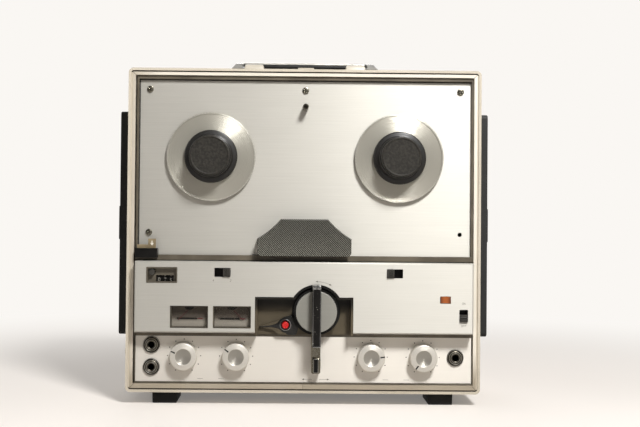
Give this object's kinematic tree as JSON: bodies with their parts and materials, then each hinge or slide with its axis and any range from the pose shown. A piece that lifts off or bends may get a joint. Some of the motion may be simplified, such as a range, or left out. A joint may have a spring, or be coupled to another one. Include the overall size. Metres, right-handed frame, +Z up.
{
  "type": "reel-to-reel tape recorder",
  "caption": "Portable suitcase-style reel-to-reel tape recorder standing upright, with reel tables, head cover, raised control panel, level meters, side loudspeakers and a carrying handle.",
  "frame": {"origin": "on the floor under the middle of the object's box", "axes": "+X to the right seen from the front, +Y into the case from front to back, +Z up"},
  "size_m": [0.3776, 0.189, 0.355],
  "materials": {
    "case_cream": "painted",
    "trim_cream": "satin",
    "bezel_taupe": "satin",
    "rear_board": "pressed board",
    "black_rubber": "matte",
    "cap_rubber": "worn matte",
    "grille_black": "moulded",
    "speaker_steel": "plated",
    "deck_aluminium": "brushed",
    "spun_aluminium": "spun",
    "bright_chrome": "polished",
    "steel": "plated",
    "brass": "turned",
    "cover_plastic": "textured",
    "black_plastic": "satin",
    "well_plastic": "satin",
    "record_red": "gloss",
    "amber_lens": "gloss",
    "meter_lens": "clear",
    "needle_red": "painted",
    "pause_tan": "satin"
  },
  "bodies": {
    "recorder": {"case_shell": "case_cream", "front_trim": "trim_cream", "rear_cover": "rear_board", "feet": "black_rubber", "handle_brackets": "case_cream", "lid_catches": "case_cream", "left_grille": "grille_black", "right_grille": "grille_black", "speakers": "speaker_steel", "deck_bezel": "bezel_taupe", "deck_plate": "deck_aluminium", "deck_screws": "steel", "sleeve_post": "bright_chrome", "head_cover": "cover_plastic", "head_assembly": "steel", "motor": "speaker_steel", "belts": "black_rubber", "chassis": "speaker_steel", "bearing_bushes": "brass", "amplifier_unit": "speaker_steel", "mains_inlet": "black_plastic", "control_panel": "deck_aluminium", "counter_frame": "bezel_taupe", "switch_bodies": "black_plastic", "pilot_lens": "amber_lens", "meter_cases": "bezel_taupe", "meter_windows": "meter_lens", "selector_well": "well_plastic", "lower_panel": "deck_aluminium", "potentiometers": "brass", "jack_sockets": "bright_chrome", "pause_guide": "black_plastic"},
    "left_reel": {"left_reel_table": "spun_aluminium"},
    "right_reel": {"right_reel_table": "spun_aluminium"},
    "left_cap": {"left_reel_cap": "cap_rubber"},
    "right_cap": {"right_reel_cap": "cap_rubber"},
    "capstan": {"capstan_flywheel": "steel"},
    "motor_rotor": {"motor_pulley": "brass"},
    "pinch_lever": {"pinch_arm": "steel"},
    "roller": {"pinch_roller": "black_rubber"},
    "selector": {"selector_dial": "spun_aluminium", "selector_bar": "black_plastic"},
    "winder": {"wind_lever": "steel"},
    "record_key": {"record_button": "record_red"},
    "reset_key": {"reset_button": "black_plastic"},
    "track_switch": {"track_slider": "black_plastic"},
    "speed_switch": {"speed_slider": "black_plastic"},
    "power_switch": {"power_slider": "black_plastic"},
    "volume_left": {"volume_left_knob": "spun_aluminium"},
    "volume_right": {"volume_right_knob": "spun_aluminium"},
    "tone_left": {"tone_left_knob": "spun_aluminium"},
    "tone_right": {"tone_right_knob": "spun_aluminium"},
    "left_pointer": {"left_needle": "needle_red"},
    "right_pointer": {"right_needle": "needle_red"},
    "units": {"units_wheel": "black_plastic"},
    "tens": {"tens_wheel": "black_plastic"},
    "hundreds": {"hundreds_wheel": "black_plastic"},
    "pause": {"pause_slider": "pause_tan"},
    "handle": {"handle_arms": "bright_chrome", "handle_grip": "black_plastic"}
  },
  "joints": [
    {"name": "left_reel_spin", "type": "hinge", "parent": "recorder", "child": "left_reel", "pos_m": [-0.094, -0.0705, 0.2476], "axis": [0, 1, 0], "continuous": true},
    {"name": "left_cap_pull", "type": "slide", "parent": "left_reel", "child": "left_cap", "axis": [0, -1, 0], "range_m": [0, 0.045]},
    {"name": "right_reel_spin", "type": "hinge", "parent": "recorder", "child": "right_reel", "pos_m": [0.095, -0.0705, 0.2476], "axis": [0, 1, 0], "continuous": true},
    {"name": "right_cap_pull", "type": "slide", "parent": "right_reel", "child": "right_cap", "axis": [0, -1, 0], "range_m": [0, 0.045]},
    {"name": "capstan_spin", "type": "hinge", "parent": "recorder", "child": "capstan", "pos_m": [0.0225, -0.0705, 0.1552], "axis": [0, 1, 0], "continuous": true},
    {"name": "motor_spin", "type": "hinge", "parent": "recorder", "child": "motor_rotor", "pos_m": [-0.0575, -0.0705, 0.158], "axis": [0, 1, 0], "continuous": true},
    {"name": "pinch_swing", "type": "hinge", "parent": "recorder", "child": "pinch_lever", "pos_m": [0.0075, -0.0705, 0.1785], "axis": [0, 1, 0], "range_deg": [0, 8]},
    {"name": "roller_spin", "type": "hinge", "parent": "pinch_lever", "child": "roller", "pos_m": [0.02409, -0.0705, 0.16821], "axis": [0, 1, 0], "continuous": true},
    {"name": "selector_turn", "type": "hinge", "parent": "recorder", "child": "selector", "pos_m": [0.0127, -0.0705, 0.0941], "axis": [0, 1, 0], "range_deg": [0, 40]},
    {"name": "wind_swing", "type": "hinge", "parent": "recorder", "child": "winder", "pos_m": [0.0127, -0.0705, 0.0941], "axis": [0, 1, 0], "range_deg": [-20, 20], "stiffness_Nm_per_rad": 0.05},
    {"name": "record_press", "type": "slide", "parent": "recorder", "child": "record_key", "axis": [0, 1, 0], "range_m": [0, 0.003], "stiffness_N_per_m": 300},
    {"name": "reset_press", "type": "slide", "parent": "recorder", "child": "reset_key", "axis": [0, 1, 0], "range_m": [0, 0.0025], "stiffness_N_per_m": 300},
    {"name": "track_slide", "type": "slide", "parent": "recorder", "child": "track_switch", "axis": [1, 0, 0], "range_m": [-0.008, 0]},
    {"name": "speed_slide", "type": "slide", "parent": "recorder", "child": "speed_switch", "axis": [1, 0, 0], "range_m": [0, 0.008]},
    {"name": "power_slide", "type": "slide", "parent": "recorder", "child": "power_switch", "axis": [0, 0, 1], "range_m": [0, 0.0045]},
    {"name": "volume_left_turn", "type": "hinge", "parent": "recorder", "child": "volume_left", "pos_m": [-0.119, -0.0705, 0.0481], "axis": [0, 1, 0], "range_deg": [-84, 216]},
    {"name": "volume_right_turn", "type": "hinge", "parent": "recorder", "child": "volume_right", "pos_m": [-0.0669, -0.0705, 0.0481], "axis": [0, 1, 0], "range_deg": [-95, 205]},
    {"name": "tone_left_turn", "type": "hinge", "parent": "recorder", "child": "tone_left", "pos_m": [0.0679, -0.0705, 0.0481], "axis": [0, 1, 0], "range_deg": [-235, 65]},
    {"name": "tone_right_turn", "type": "hinge", "parent": "recorder", "child": "tone_right", "pos_m": [0.12, -0.0705, 0.0481], "axis": [0, 1, 0], "range_deg": [-7, 293]},
    {"name": "left_pointer_swing", "type": "hinge", "parent": "recorder", "child": "left_pointer", "pos_m": [-0.11315, -0.0705, 0.0962], "axis": [0, -1, 0], "range_deg": [0, 84], "stiffness_Nm_per_rad": 0.0002},
    {"name": "right_pointer_swing", "type": "hinge", "parent": "recorder", "child": "right_pointer", "pos_m": [-0.07085, -0.0705, 0.0962], "axis": [0, 1, 0], "range_deg": [0, 84], "stiffness_Nm_per_rad": 0.0002},
    {"name": "units_spin", "type": "hinge", "parent": "recorder", "child": "units", "pos_m": [-0.138, -0.0677, 0.1259], "axis": [1, 0, 0], "continuous": true},
    {"name": "tens_spin", "type": "hinge", "parent": "recorder", "child": "tens", "pos_m": [-0.138, -0.0677, 0.1259], "axis": [1, 0, 0], "continuous": true},
    {"name": "hundreds_spin", "type": "hinge", "parent": "recorder", "child": "hundreds", "pos_m": [-0.138, -0.0677, 0.1259], "axis": [1, 0, 0], "continuous": true},
    {"name": "pause_slide", "type": "slide", "parent": "recorder", "child": "pause", "axis": [0, 0, 1], "range_m": [0, 0.005]},
    {"name": "handle_swing", "type": "hinge", "parent": "recorder", "child": "handle", "pos_m": [0, -0.0145, 0.3425], "axis": [1, 0, 0], "range_deg": [0, 90]}
  ],
  "couplings": [
    {"joint": "motor_spin", "follows": "capstan_spin", "ratio": 5.2571},
    {"joint": "pinch_swing", "follows": "selector_turn", "ratio": 0.2},
    {"joint": "units_spin", "follows": "left_reel_spin", "ratio": 0.2},
    {"joint": "tens_spin", "follows": "left_reel_spin", "ratio": 0.02},
    {"joint": "hundreds_spin", "follows": "left_reel_spin", "ratio": 0.002}
  ]
}
